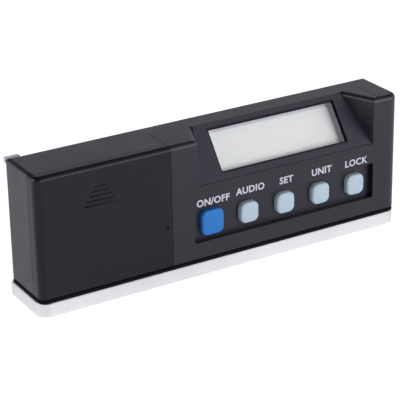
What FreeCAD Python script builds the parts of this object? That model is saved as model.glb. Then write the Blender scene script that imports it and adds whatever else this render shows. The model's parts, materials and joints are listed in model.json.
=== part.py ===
"""Digital inclinometer: a moulded electronic level on an aluminium base plate.

Frame: +X along the body to the right, -Y out of the front face, +Z up. The origin is the
centre of the base plate's underside. Millimetres.
"""

import FreeCAD, Part
import math
import os

from FreeCAD import Vector

# Body
BODY_LENGTH = 170.0
BODY_DEPTH = 25.5
BODY_HEIGHT = 51.7
WALL = 2.0
FRONT_LEFT_RADIUS = 3.0
FRONT_RIGHT_RADIUS = 4.5
REAR_CORNER_RADIUS = 0.8
TOP_EDGE_RADIUS = 1.9
BOTTOM_EDGE_RADIUS = 0.9

# Base plate and the strip under the body
BASE_THICKNESS = 6.0
BASE_END_OVERHANG = 0.6
BASE_FRONT_OVERHANG = 0.3
BASE_REAR_OVERHANG = 1.5
BASE_CORNER_RADII = [5.0, 6.0, 1.5, 1.5]
BASE_EDGE_CHAMFER = 0.3
GASKET_THICKNESS = 1.2
GASKET_LIP = 0.15
GASKET_CORNER_RADII = [3.6, 5.2, 1.0, 1.0]
MAGNET_RADIUS = 5.0
MAGNET_HEIGHT = 3.0
MAGNET_SETBACK = 0.1
MAGNET_X = 44.0
BASE_SCREW_SPACING = 44.0
BASE_SCREW_REACH = 7.0
BASE_SCREW_GAP = 1.05

# Screws: thread radius, head radius and the clearance of their holes
BASE_SCREW_RADIUS = 1.5
BASE_SCREW_HEAD_RADIUS = 2.9
SMALL_SCREW_RADIUS = 1.2
SMALL_SCREW_HEAD_RADIUS = 2.2
SMALL_SCREW_REACH = 6.0
BOARD_SCREW_REACH = 4.0
FRAME_SCREW_RADIUS = 0.8
FRAME_SCREW_HEAD_RADIUS = 1.5
SCREW_HEAD_HEIGHT = 0.9
HOLE_CLEARANCE = 0.15
THREAD_CLEARANCE = 0.05
BOSS_RADIUS = 3.0
BOARD_BOSS_RADIUS = 2.0
COLUMN_RIB_WIDTH = 2.4

# Battery cover and bay
COVER_LENGTH = 59.0
COVER_TOP_FLANGE = 4.1
COVER_END_FLANGE = 6.7
SEAM = 0.16
TOOTH_SPACING = 32.0
TOOTH_WIDTH = 6.0
TOOTH_HEIGHT = 3.0
TOOTH_SETBACK = 1.1
TOOTH_THICKNESS = 0.8
TOOTH_CLEARANCE = 0.15
TOOTH_FOOT_GAP = 0.4
NOTCH_CLEARANCE = 1.0
LIP_THICKNESS = 1.2
LIP_REACH = 1.5
LEDGE_DEPTH = 2.4
PARTITION_OFFSET = 4.0
PAD_HEIGHT = 20.0
PAD_GAP = 0.2
PIN_HOLE_RADIUS = 0.5
PIN_HOLE_INSET = 2.1
PIN_HOLE_HEIGHT = 17.7

# Arrow grip pressed into the cover
ARROW_CENTRE = 27.7
ARROW_WIDTH = 15.4
ARROW_HEIGHT = 11.2
ARROW_DROP = 5.5
ARROW_DEPTH = 0.6
ARROW_DEPTH_RIGHT = 0.15
ARROW_RIBS = 4
ARROW_RIB_PITCH = 1.9
ARROW_RIB_WIDTH = 1.0

# Nine volt block
BATTERY_LENGTH = 46.0
BATTERY_WIDTH = 26.0
BATTERY_THICKNESS = 17.0
BATTERY_EDGE_RADIUS = 2.0
BATTERY_FIT = 0.2
TERMINAL_HEIGHT = 2.5
TERMINAL_SPACING = 12.7
TERMINAL_RADIUS = 2.8
BATTERY_END_GAP = 3.5
CRADLE_WIDTH = 3.0
CRADLE_INSET = 12.0
CONTACT_RADIUS = 4.0
CONTACT_THICKNESS = 0.5
HOLDER_WIDTH = 13.0
HOLDER_HEIGHT = 26.0

# Sloped display recess, open to the top
RECESS_LEFT_MARGIN = 12.0
RECESS_RIGHT_MARGIN = 13.0
RECESS_LEAN = 6.6
RECESS_BACK_MARGIN = 10.3
RECESS_HEIGHT = 19.7
RECESS_LIP = 0.4
FLARE_EDGE_RADIUS = 0.6
WINDOW_LEFT_MARGIN = 12.65
WINDOW_RIGHT_MARGIN = 11.45
WINDOW_RISE = 3.0
WINDOW_DROP = 2.24
WINDOW_CORNER_RADIUS = 0.8
LENS_THICKNESS = 1.1
LENS_MARGIN = 1.0
LENS_CLEARANCE = 0.1
FRAME_SIDE = 4.2
FRAME_STEP = 2.2
GLASS_MARGIN_X = 2.0
GLASS_MARGIN_V = 0.6
GLASS_SHEET = 1.0
GLASS_STEP = 0.8
GLASS_CLEARANCE = 0.15
ELASTOMER_THICKNESS = 2.0
ELASTOMER_WIDTH = 2.0
BOARD_THICKNESS = 1.6
DISPLAY_BOARD_THICKNESS = 1.2

# Button pocket and buttons
POCKET_LEFT_MARGIN = 10.25
POCKET_RIGHT_MARGIN = 12.75
POCKET_BOTTOM = 7.5
POCKET_HEIGHT = 15.7
POCKET_DEPTH = 2.5
POCKET_FLOOR = 1.6
POCKET_CORNER_RADIUS = 1.0
BUTTON_COUNT = 5
BUTTON_END_MARGIN = 8.8
BUTTON_RISE = 7.5
BUTTON_WIDTH = 8.6
BUTTON_HEIGHT = 8.9
POWER_BUTTON_WIDTH = 10.4
POWER_BUTTON_HEIGHT = 10.8
BUTTON_CORNER_RADIUS = 2.7
BUTTON_EDGE_RADIUS = 0.9
BUTTON_FLANGE = 1.0
BUTTON_FLANGE_THICKNESS = 0.9
BUTTON_CLEARANCE = 0.2
BUTTON_STEM_RADIUS = 2.0
BUTTON_STEM = 0.5
BUTTON_TRAVEL = 0.8
STEM_GAP = 0.1
PLUNGER_RADIUS = 1.7
PLUNGER_HEIGHT = 0.9
SWITCH_SIZE = 6.0
SWITCH_HEIGHT = 3.2

# Main board and what it carries
BOARD_SIDE_GAP = 0.8
BOARD_RISE = 1.8
BOARD_DROP = 4.6
BOARD_SCREW_INSET = 2.6
SENSOR_OFFSET = 24.0
SENSOR_RADIUS = 8.0
SENSOR_HEIGHT = 5.5
PROCESSOR_OFFSET = 24.0
PROCESSOR_SIZE = 14.0
PROCESSOR_HEIGHT = 1.8
BUZZER_OFFSET = 10.0
BUZZER_RADIUS = 5.5
BUZZER_HEIGHT = 6.0
CRYSTAL_GAP = 2.5
CRYSTAL_LENGTH = 11.0
CRYSTAL_WIDTH = 4.0
CRYSTAL_HEIGHT = 3.5
CAPACITOR_OFFSET = 7.0
CAPACITOR_RADIUS = 3.0
CAPACITOR_HEIGHT = 7.0

# Rear cover and bracket
REAR_THICKNESS = 2.0
REAR_CLEARANCE = 0.15
REAR_COLUMN_INSET = 5.2
REAR_COLUMN_RISE = 5.8
REAR_COLUMN_DROP = 6.9
BRACKET_WIDTH = 11.0
BRACKET_TAB_WIDTH = 6.4
BRACKET_TAB_LENGTH = 3.2
BRACKET_TIP_LENGTH = 2.2
BRACKET_TIP_REACH = 2.2
BRACKET_LENGTH = 21.0
BRACKET_THICKNESS = 1.5
BRACKET_CORNER_RADIUS = 1.8

# Fine lines on the top face
TOP_LINE_WIDTH = 0.25
TOP_LINE_DEPTH = 0.2
TOP_LINE_INSET = 9.7
TOP_LINE_LENGTH = 15.0

LEFT = -BODY_LENGTH / 2
RIGHT = BODY_LENGTH / 2
BASE_DEPTH = BASE_FRONT_OVERHANG + BODY_DEPTH + BASE_REAR_OVERHANG
FRONT = BASE_FRONT_OVERHANG - BASE_DEPTH / 2
BACK = FRONT + BODY_DEPTH
GASKET_TOP = BASE_THICKNESS + GASKET_THICKNESS
BOTTOM = GASKET_TOP
TOP = BOTTOM + BODY_HEIGHT
INNER_LEFT = LEFT + WALL
INNER_RIGHT = RIGHT - WALL
INNER_FRONT = FRONT + WALL
INNER_BACK = BACK - REAR_THICKNESS
INNER_BOTTOM = BOTTOM + WALL
INNER_TOP = TOP - WALL
COVER_RIGHT = LEFT + COVER_LENGTH
PARTITION_LEFT = COVER_RIGHT + PARTITION_OFFSET
PARTITION_RIGHT = PARTITION_LEFT + WALL
FLOOR_FRONT = FRONT + POCKET_DEPTH
FLOOR_BACK = FLOOR_FRONT + POCKET_FLOOR
FLANGE_BACK = FLOOR_BACK + STEM_GAP + BUTTON_FLANGE_THICKNESS
STEM_BACK = FLANGE_BACK + BUTTON_STEM
BOARD_FRONT = STEM_BACK + BUTTON_TRAVEL + STEM_GAP + PLUNGER_HEIGHT + SWITCH_HEIGHT
BOARD_BACK = BOARD_FRONT + BOARD_THICKNESS
BUTTON_Z = BOTTOM + POCKET_BOTTOM + BUTTON_RISE
POCKET_Z = BOTTOM + POCKET_BOTTOM
BASE_SCREW_Y = BOARD_BACK + BASE_SCREW_GAP + BOSS_RADIUS
BATTERY_LEFT = INNER_LEFT + BATTERY_END_GAP
BATTERY_RIGHT = BATTERY_LEFT + BATTERY_LENGTH
BATTERY_Z = (INNER_BOTTOM + INNER_TOP) / 2
BATTERY_BOTTOM = BATTERY_Z - BATTERY_WIDTH / 2
BATTERY_TOP = BATTERY_Z + BATTERY_WIDTH / 2
BATTERY_FRONT = -BATTERY_THICKNESS / 2
REAR_COLUMN_LEFT = LEFT + REAR_COLUMN_INSET
REAR_COLUMN_MIDDLE = (PARTITION_LEFT + PARTITION_RIGHT) / 2
REAR_COLUMN_RIGHT = RIGHT - REAR_COLUMN_INSET
BOARD_LEFT = REAR_COLUMN_MIDDLE + BOSS_RADIUS + BOARD_SIDE_GAP
BOARD_RIGHT = REAR_COLUMN_RIGHT - BOSS_RADIUS - BOARD_SIDE_GAP
BOARD_BOTTOM = INNER_BOTTOM + BOARD_RISE
BOARD_TOP = TOP - RECESS_HEIGHT - BOARD_DROP
RECESS_LEFT = COVER_RIGHT + RECESS_LEFT_MARGIN
RECESS_RIGHT = RIGHT - RECESS_RIGHT_MARGIN
RECESS_CENTRE = (RECESS_LEFT + RECESS_RIGHT) / 2
RECESS_HALF = (RECESS_RIGHT - RECESS_LEFT) / 2
WINDOW_LEFT = RECESS_LEFT + WINDOW_LEFT_MARGIN
WINDOW_RIGHT = RECESS_RIGHT - WINDOW_RIGHT_MARGIN
WINDOW_CENTRE = (WINDOW_LEFT + WINDOW_RIGHT) / 2
WINDOW_HALF = (WINDOW_RIGHT - WINDOW_LEFT) / 2
POCKET_LEFT = COVER_RIGHT + POCKET_LEFT_MARGIN
POCKET_RIGHT = RIGHT - POCKET_RIGHT_MARGIN
POCKET_TOP = POCKET_Z + POCKET_HEIGHT
BUTTON_PITCH = (POCKET_RIGHT - POCKET_LEFT - 2 * BUTTON_END_MARGIN) / (BUTTON_COUNT - 1)

# The slope's own directions: up the slope, and inwards from its face
RECESS_DEPTH = BODY_DEPTH - RECESS_BACK_MARGIN
SLOPE_FOOT = Vector(0, FRONT + RECESS_LIP, TOP - RECESS_HEIGHT)
SLOPE_HEAD = Vector(0, FRONT + RECESS_DEPTH, TOP)
SLOPE_LENGTH = (SLOPE_HEAD - SLOPE_FOOT).Length
UP_SLOPE = (SLOPE_HEAD - SLOPE_FOOT) * (1 / SLOPE_LENGTH)
INTO_SLOPE = Vector(0, UP_SLOPE.z, -UP_SLOPE.y)
WINDOW_TOP = SLOPE_LENGTH - WINDOW_DROP
FLARE = math.atan(RECESS_LEAN / RECESS_DEPTH)

X_AXIS = Vector(1, 0, 0)
Y_AXIS = Vector(0, 1, 0)
Z_AXIS = Vector(0, 0, 1)
OVERCUT = 12.0


def box(x0, x1, y0, y1, z0, z1):
    """A block between two values on each axis."""
    return Part.makeBox(x1 - x0, y1 - y0, z1 - z0, Vector(x0, y0, z0))


def rod(radius, start, along, length):
    """A round bar from a point, in a direction."""
    return Part.makeCylinder(radius, length, start, along)


def fuse_all(shapes):
    """One solid out of several that touch."""
    whole = shapes[0]
    for shape in shapes[1:]:
        whole = whole.fuse(shape)
    return whole.removeSplitter()


def cut_all(shape, tools):
    """A solid with each tool taken out of it."""
    for tool in tools:
        shape = shape.cut(tool)
    return shape


def rounded_face(points, radii):
    """A flat face with the given corners, each rounded to its own radius."""
    arrivals = []
    departures = []
    middles = []
    for i, point in enumerate(points):
        back = (points[i - 1] - point).normalize()
        ahead = (points[(i + 1) % len(points)] - point).normalize()
        half = math.acos(back.dot(ahead)) / 2
        reach = radii[i] / math.tan(half)
        arrivals.append(point + back * reach)
        departures.append(point + ahead * reach)
        bisector = (back + ahead).normalize()
        middles.append(point + bisector * (radii[i] / math.sin(half) - radii[i]))
    edges = []
    for i in range(len(points)):
        if radii[i] > 0:
            edges.append(Part.Arc(arrivals[i], middles[i], departures[i]).toShape())
        edges.append(Part.makeLine(departures[i], arrivals[(i + 1) % len(points)]))
    return Part.Face(Part.Wire(edges))


def plan_block(x0, x1, y0, y1, z0, z1, radii):
    """A block with rounded upright corners, from front left by front right to rear left."""
    corners = [Vector(x0, y0, z0), Vector(x1, y0, z0), Vector(x1, y1, z0), Vector(x0, y1, z0)]
    return rounded_face(corners, radii).extrude(Vector(0, 0, z1 - z0))


def front_block(x0, x1, z0, z1, y0, y1, radius):
    """A block whose outline, seen from the front, has rounded corners."""
    corners = [Vector(x0, y0, z0), Vector(x1, y0, z0), Vector(x1, y0, z1), Vector(x0, y0, z1)]
    return rounded_face(corners, [radius] * 4).extrude(Vector(0, y1 - y0, 0))


def on_slope(x, along, depth):
    """A point given by its place up the slope and its depth below the slope's face."""
    return Vector(x, 0, 0) + SLOPE_FOOT + UP_SLOPE * along + INTO_SLOPE * depth


def slope_block(half, v0, v1, depth0, depth1, radius=0.0):
    """A block about the window's middle that lies in the slope's own directions."""
    x0 = WINDOW_CENTRE - half
    x1 = WINDOW_CENTRE + half
    outline = [(x0, v0), (x1, v0), (x1, v1), (x0, v1)]
    corners = [on_slope(x, v, depth0) for x, v in outline]
    return rounded_face(corners, [radius] * 4).extrude(INTO_SLOPE * (depth1 - depth0))


def edges_at(shape, test):
    """The edges of a shape whose two ends both pass a test."""
    return [edge for edge in shape.Edges if all(test(vertex.Point) for vertex in edge.Vertexes)]


def screw(start, along, reach, radius, head_radius):
    """A countersunk screw: its flat head starts at a point and its shank runs along."""
    head_height = head_radius - radius
    head = Part.makeCone(head_radius, radius, head_height, start, along)
    shank = rod(radius, start + along * head_height, along, reach - head_height)
    socket = rod(radius * 0.55, start, along, head_height * 0.6)
    return head.fuse(shank).cut(socket)


def screw_hole(start, along, reach, radius, head_radius):
    """The room that a countersunk screw needs."""
    head_height = head_radius - radius
    wide = head_radius + HOLE_CLEARANCE
    narrow = radius + HOLE_CLEARANCE
    head = Part.makeCone(wide, narrow, head_height, start, along)
    return head.fuse(rod(narrow, start, along, reach + HOLE_CLEARANCE))


def base_screw_places():
    """Where the screws enter the base plate from below."""
    return [Vector((i - 1.5) * BASE_SCREW_SPACING, BASE_SCREW_Y, 0) for i in range(4)]


def base_screw_reach():
    """Length of a base screw from its flat head to its tip in the housing."""
    return GASKET_TOP + BASE_SCREW_REACH


def magnet_places():
    """Centres of the two round magnets in the base."""
    return [Vector(side * MAGNET_X, 0, MAGNET_SETBACK) for side in (-1, 1)]


def rear_screw_places():
    """Where the screws enter the rear cover, the bracket's own first."""
    upper = TOP - REAR_COLUMN_DROP
    lower = BOTTOM + REAR_COLUMN_RISE
    both = [(x, z) for x in (REAR_COLUMN_LEFT, REAR_COLUMN_RIGHT) for z in (upper, lower)]
    return [Vector(x, BACK, z) for x, z in both + [(REAR_COLUMN_MIDDLE, upper)]]


def board_screw_places():
    """Where the screws enter the main board from behind."""
    inset = BOARD_SCREW_INSET
    xs = (BOARD_LEFT + inset, BOARD_RIGHT - inset)
    return [Vector(x, BOARD_BACK, z) for x in xs for z in (BOARD_BOTTOM + inset, BOARD_TOP - inset)]


def button_places():
    """Name, centre, width and height of each button, from the left."""
    names = ["power_button", "audio_button", "set_button", "unit_button", "lock_button"]
    places = []
    for i, name in enumerate(names[:BUTTON_COUNT]):
        x = POCKET_LEFT + BUTTON_END_MARGIN + i * BUTTON_PITCH
        width = POWER_BUTTON_WIDTH if i == 0 else BUTTON_WIDTH
        height = POWER_BUTTON_HEIGHT if i == 0 else BUTTON_HEIGHT
        places.append((name, x, width, height))
    return places


def recess_space(offset):
    """The wedge-shaped display recess, grown outwards by an offset for its walls."""
    side = offset / math.cos(FLARE)
    ahead = OVERCUT * math.tan(FLARE)
    half_front = RECESS_HALF + side + ahead
    half_back = RECESS_HALF - RECESS_LEAN + side - ahead
    y0 = FRONT - OVERCUT
    y1 = FRONT + RECESS_DEPTH + OVERCUT
    z0 = TOP - RECESS_HEIGHT - offset
    plan = [
        Vector(RECESS_CENTRE - half_front, y0, z0),
        Vector(RECESS_CENTRE + half_front, y0, z0),
        Vector(RECESS_CENTRE + half_back, y1, z0),
        Vector(RECESS_CENTRE - half_back, y1, z0),
    ]
    upright = rounded_face(plan, [0.0] * 4).extrude(Vector(0, 0, RECESS_HEIGHT + offset + OVERCUT))
    head = SLOPE_HEAD + INTO_SLOPE * offset + UP_SLOPE * OVERCUT
    foot = SLOPE_FOOT + INTO_SLOPE * offset
    foot = foot + UP_SLOPE * ((z0 - foot.z) / UP_SLOPE.z)
    x0 = RECESS_LEFT - RECESS_HALF
    outline = [(y0, z0), (foot.y, z0), (head.y, head.z), (y0, head.z)]
    profile = [Vector(x0, y, z) for y, z in outline]
    sideways = rounded_face(profile, [0.0] * 4).extrude(Vector(RECESS_HALF * 4, 0, 0))
    return upright.common(sideways)


def flare_round(side):
    """The tool that rounds the top edge of one flared wall of the recess."""
    radius = TOP_EDGE_RADIUS
    along = Vector(-side * math.sin(FLARE), math.cos(FLARE), 0)
    outwards = Vector(side * math.cos(FLARE), math.sin(FLARE), 0)
    corner = Vector(RECESS_CENTRE + side * RECESS_HALF, FRONT, TOP)
    start = corner - along * OVERCUT
    arc = Part.Arc(
        start + outwards * radius,
        start + (outwards - Z_AXIS) * (radius * (1 - math.sqrt(0.5))),
        start - Z_AXIS * radius,
    ).toShape()
    spare = radius * 0.2
    far_down = start - Z_AXIS * radius - outwards * spare
    far_corner = start - outwards * spare + Z_AXIS * spare
    far_out = start + outwards * radius + Z_AXIS * spare
    outline = [
        arc,
        Part.makeLine(start - Z_AXIS * radius, far_down),
        Part.makeLine(far_down, far_corner),
        Part.makeLine(far_corner, far_out),
        Part.makeLine(far_out, start + outwards * radius),
    ]
    face = Part.Face(Part.Wire(outline))
    return face.extrude(along * (OVERCUT + RECESS_DEPTH / math.cos(FLARE)))


def flare_edge_round(side):
    """The tool that rounds the upright edge between the front face and one flared wall."""
    radius = FLARE_EDGE_RADIUS
    half = (math.pi / 2 + FLARE) / 2
    face = Vector(side, 0, 0)
    wall = Vector(-side * math.sin(FLARE), math.cos(FLARE), 0)
    inwards = (face + wall).normalize()
    corner = Vector(RECESS_CENTRE + side * RECESS_HALF, FRONT, TOP - RECESS_HEIGHT)
    reach = radius / math.tan(half)
    centre = corner + inwards * (radius / math.sin(half))
    outline = [corner + face * reach, corner - inwards * radius, corner + wall * reach, centre]
    height = RECESS_HEIGHT + 1.0
    prism = rounded_face(outline, [0.0] * 4).extrude(Z_AXIS * height)
    return prism.cut(rod(radius, centre - Z_AXIS, Z_AXIS, height + 2.0))


def rear_corner_round(side):
    """The tool that rounds one upright rear corner of the body."""
    radius = REAR_CORNER_RADIUS
    centre = Vector(side * (RIGHT - radius), BACK - radius, BOTTOM - 1.0)
    block = Part.makeBox(radius + 1.0, radius + 1.0, BODY_HEIGHT + 2.0)
    block.translate(centre - X_AXIS * (radius + 1.0 if side < 0 else 0.0))
    return block.cut(rod(radius, centre - Z_AXIS, Z_AXIS, BODY_HEIGHT + 4.0))


def body_block():
    """The outer form of the body, before it is divided and hollowed."""
    radii = [FRONT_LEFT_RADIUS, FRONT_RIGHT_RADIUS, 0.0, 0.0]
    block = plan_block(LEFT, RIGHT, FRONT, BACK, BOTTOM, TOP, radii)
    block = block.makeFillet(TOP_EDGE_RADIUS, edges_at(block, lambda p: p.z > TOP - 0.01))
    block = block.makeFillet(BOTTOM_EDGE_RADIUS, edges_at(block, lambda p: p.z < BOTTOM + 0.01))
    return cut_all(block, [rear_corner_round(-1), rear_corner_round(1)])


def pocket_space():
    """The shallow pocket that the buttons stand in."""
    y0 = FRONT - 1.0
    radius = POCKET_CORNER_RADIUS
    return front_block(POCKET_LEFT, POCKET_RIGHT, POCKET_Z, POCKET_TOP, y0, FLOOR_FRONT, radius)


def electronics_space():
    """The room inside the right part of the housing, open at the back."""
    room = box(PARTITION_RIGHT, INNER_RIGHT, INNER_FRONT, BACK, INNER_BOTTOM, INNER_TOP)
    x0 = POCKET_LEFT - WALL
    x1 = POCKET_RIGHT + WALL
    pocket = box(x0, x1, FRONT, FLOOR_BACK, POCKET_Z - WALL, POCKET_TOP + WALL)
    return room.cut(recess_space(WALL)).cut(pocket)


def battery_space():
    """The room inside the left part of the housing, open at the back."""
    return box(INNER_LEFT, PARTITION_LEFT, INNER_FRONT, BACK, INNER_BOTTOM, INNER_TOP)


def rear_opening():
    """The opening at the back that the rear cover fits into."""
    return box(INNER_LEFT, INNER_RIGHT, INNER_BACK, BACK, INNER_BOTTOM, INNER_TOP)


def cover_region(gap):
    """The part of the body that belongs to the battery cover, grown by a gap."""
    x0 = LEFT - 1.0
    x1 = COVER_RIGHT + gap
    y0 = FRONT - 1.0
    slab = box(x0, x1, y0, INNER_FRONT + gap, BOTTOM - 1.0, TOP + 1.0)
    flange = box(x0, x1, y0, FRONT + COVER_TOP_FLANGE + gap, INNER_TOP - gap, TOP + 1.0)
    end = box(x0, INNER_LEFT + gap, y0, FRONT + COVER_END_FLANGE + gap, BOTTOM - 1.0, TOP + 1.0)
    return fuse_all([slab, flange, end])


def tooth_centres():
    """Places along the battery cover of its two bottom teeth."""
    middle = (LEFT + COVER_RIGHT) / 2
    return [middle - TOOTH_SPACING / 2, middle + TOOTH_SPACING / 2]


def tooth_slots():
    """Slots in the housing's bottom wall that the cover's teeth drop into."""
    half = TOOTH_WIDTH / 2 + TOOTH_CLEARANCE
    y0 = INNER_FRONT + TOOTH_SETBACK - TOOTH_CLEARANCE
    y1 = INNER_FRONT + TOOTH_SETBACK + TOOTH_THICKNESS + TOOTH_CLEARANCE
    return [box(x - half, x + half, y0, y1, BOTTOM - 1.0, INNER_BOTTOM + 1.0) for x in tooth_centres()]


def cover_lips():
    """Lips of the housing that stand behind the battery cover's seams."""
    left = box(
        LEFT + WALL / 2,
        INNER_LEFT + SEAM + LIP_THICKNESS,
        FRONT + COVER_END_FLANGE - LIP_REACH,
        FRONT + COVER_END_FLANGE + LIP_REACH,
        BOTTOM + WALL / 2,
        TOP - WALL / 2,
    )
    right = box(
        COVER_RIGHT - LIP_REACH,
        PARTITION_RIGHT,
        INNER_FRONT - WALL / 2,
        INNER_FRONT + SEAM + LIP_THICKNESS,
        BOTTOM + WALL / 2,
        TOP - WALL / 2,
    )
    y1 = FRONT + COVER_TOP_FLANGE + LEDGE_DEPTH
    z0 = INNER_TOP - SEAM - LIP_THICKNESS
    ledge = box(LEFT + WALL / 2, PARTITION_RIGHT, INNER_FRONT, y1, z0, TOP - WALL / 2)
    half = TOOTH_WIDTH / 2 + NOTCH_CLEARANCE
    notches = [box(x - half, x + half, FRONT, BATTERY_FRONT, z0 - 1.0, TOP) for x in tooth_centres()]
    return [left, right, cut_all(ledge, notches)]


def make_base_plate():
    """Aluminium plate with screw and magnet holes in its underside."""
    x = RIGHT + BASE_END_OVERHANG
    y = BASE_DEPTH / 2
    top = BASE_THICKNESS
    plate = plan_block(-x, x, -y, y, 0, top, BASE_CORNER_RADII)
    plate = plate.makeChamfer(BASE_EDGE_CHAMFER, edges_at(plate, lambda p: p.z < 0.01))
    plate = plate.makeChamfer(BASE_EDGE_CHAMFER, edges_at(plate, lambda p: p.z > top - 0.01))
    for place in base_screw_places():
        hole = screw_hole(place, Z_AXIS, top, BASE_SCREW_RADIUS, BASE_SCREW_HEAD_RADIUS)
        plate = plate.cut(hole)
    for place in magnet_places():
        foot = Vector(place.x, place.y, 0)
        plate = plate.cut(rod(MAGNET_RADIUS, foot, Z_AXIS, MAGNET_SETBACK + MAGNET_HEIGHT))
    return plate


def make_base_magnets():
    """Round magnets pressed into the base."""
    places = magnet_places()
    return Part.makeCompound([rod(MAGNET_RADIUS, place, Z_AXIS, MAGNET_HEIGHT) for place in places])


def make_base_screws():
    """Screws that hold the base to the housing."""
    reach = base_screw_reach()
    places = base_screw_places()
    solids = [screw(p, Z_AXIS, reach, BASE_SCREW_RADIUS, BASE_SCREW_HEAD_RADIUS) for p in places]
    return Part.makeCompound(solids)


def make_base_gasket():
    """Black strip between the base plate and the body."""
    x = RIGHT + GASKET_LIP
    y0 = FRONT - GASKET_LIP
    y1 = BACK + GASKET_LIP
    strip = plan_block(-x, x, y0, y1, BASE_THICKNESS, GASKET_TOP, GASKET_CORNER_RADII)
    for place in base_screw_places():
        strip = strip.cut(rod(BASE_SCREW_RADIUS + HOLE_CLEARANCE, place, Z_AXIS, GASKET_TOP + 1.0))
    return strip


def rear_column(place):
    """One screw column behind the rear cover, tied to the end wall by a rib."""
    front = INNER_FRONT if place.x > PARTITION_RIGHT else FRONT + COVER_END_FLANGE + 3.0
    column = rod(BOSS_RADIUS, Vector(place.x, front, place.z), Y_AXIS, INNER_BACK - front)
    if abs(place.x) < REAR_COLUMN_RIGHT:
        return column
    wall = math.copysign(RIGHT - WALL / 2, place.x)
    half = COLUMN_RIB_WIDTH / 2
    x0, x1 = sorted((place.x, wall))
    return column.fuse(box(x0, x1, front, INNER_BACK, place.z - half, place.z + half))


def housing_posts():
    """Screw columns, bosses and the ribs that cradle the battery."""
    posts = [rear_column(place) for place in rear_screw_places()]
    for place in base_screw_places():
        foot = Vector(place.x, place.y, BOTTOM + WALL / 2)
        posts.append(rod(BOSS_RADIUS, foot, Z_AXIS, BASE_SCREW_REACH))
    front = FRONT + WALL / 2
    for place in board_screw_places():
        foot = Vector(place.x, front, place.z)
        posts.append(rod(BOARD_BOSS_RADIUS, foot, Y_AXIS, BOARD_FRONT - front))
    for x in (BATTERY_LEFT + CRADLE_INSET, BATTERY_RIGHT - CRADLE_INSET):
        x0 = x - CRADLE_WIDTH / 2
        x1 = x + CRADLE_WIDTH / 2
        y0 = BATTERY_FRONT
        posts.append(box(x0, x1, y0, INNER_BACK, BOTTOM + WALL / 2, BATTERY_BOTTOM))
        posts.append(box(x0, x1, y0, INNER_BACK, BATTERY_TOP + BATTERY_FIT, TOP - WALL / 2))
    return posts


def housing_cuts():
    """Window, button holes, screw holes and the fine lines on the top face."""
    cuts = []
    deep = WALL + 1.0
    cuts.append(slope_block(WINDOW_HALF, WINDOW_RISE, WINDOW_TOP, -1.0, deep, WINDOW_CORNER_RADIUS))
    margin = LENS_MARGIN + LENS_CLEARANCE
    depth = WALL - LENS_THICKNESS
    v0 = WINDOW_RISE - margin
    v1 = WINDOW_TOP + margin
    cuts.append(slope_block(WINDOW_HALF + margin, v0, v1, depth, deep, WINDOW_CORNER_RADIUS))
    for _, x, width, height in button_places():
        w = width / 2 + BUTTON_CLEARANCE
        h = height / 2 + BUTTON_CLEARANCE
        radius = BUTTON_CORNER_RADIUS + BUTTON_CLEARANCE
        z = BUTTON_Z
        cuts.append(front_block(x - w, x + w, z - h, z + h, FRONT, FLOOR_BACK + 1.0, radius))
    small = SMALL_SCREW_RADIUS + THREAD_CLEARANCE
    for place in rear_screw_places():
        cuts.append(rod(small, place, -Y_AXIS, REAR_THICKNESS + SMALL_SCREW_REACH + THREAD_CLEARANCE))
    large = BASE_SCREW_RADIUS + THREAD_CLEARANCE
    for place in base_screw_places():
        cuts.append(rod(large, place, Z_AXIS, base_screw_reach() + THREAD_CLEARANCE))
    for place in board_screw_places():
        reach = BOARD_THICKNESS + BOARD_SCREW_REACH + THREAD_CLEARANCE
        cuts.append(rod(small, place, -Y_AXIS, reach))
    half = TOP_LINE_WIDTH / 2
    z0 = TOP - TOP_LINE_DEPTH
    lines = [(COVER_RIGHT, FRONT + COVER_TOP_FLANGE), (RIGHT - TOP_LINE_INSET, FRONT + TOP_EDGE_RADIUS)]
    for x, y0 in lines:
        cuts.append(box(x - half, x + half, y0, y0 + TOP_LINE_LENGTH, z0, TOP + 1.0))
    return cuts


def make_main_housing(body):
    """Moulded shell with the sloped display recess, the button pocket and the battery bay."""
    shell = cut_all(body, [electronics_space(), battery_space(), rear_opening()])
    shell = shell.fuse(housing_posts() + cover_lips())
    shell = cut_all(shell, [cover_region(SEAM), pocket_space(), recess_space(0.0)])
    for side in (-1, 1):
        shell = cut_all(shell, [flare_round(side), flare_edge_round(side)])
    return cut_all(shell, tooth_slots() + housing_cuts()).removeSplitter()


def arrow_grip():
    """A pressed triangle that points up, deeper on its left, with ribs left standing across it."""
    x = LEFT + ARROW_CENTRE
    x0 = x - ARROW_WIDTH / 2
    x1 = x + ARROW_WIDTH / 2
    z1 = TOP - ARROW_DROP
    z0 = z1 - ARROW_HEIGHT
    y = FRONT - 1.0
    corners = [Vector(x0, y, z0), Vector(x1, y, z0), Vector(x, y, z1)]
    triangle = rounded_face(corners, [0.3] * 3).extrude(Vector(0, 2.0 + ARROW_DEPTH, 0))
    floor = [
        Vector(x0, FRONT + ARROW_DEPTH, z0),
        Vector(x1, FRONT + ARROW_DEPTH_RIGHT, z0),
        Vector(x1, BACK, z0),
        Vector(x0, BACK, z0),
    ]
    triangle = triangle.cut(rounded_face(floor, [0.0] * 4).extrude(Z_AXIS * ARROW_HEIGHT))
    for i in range(ARROW_RIBS):
        rib = z0 + ARROW_RIB_PITCH * i + ARROW_RIB_PITCH - ARROW_RIB_WIDTH
        triangle = triangle.cut(box(LEFT, COVER_RIGHT, y - 1.0, BACK, rib, rib + ARROW_RIB_WIDTH))
    return triangle


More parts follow.
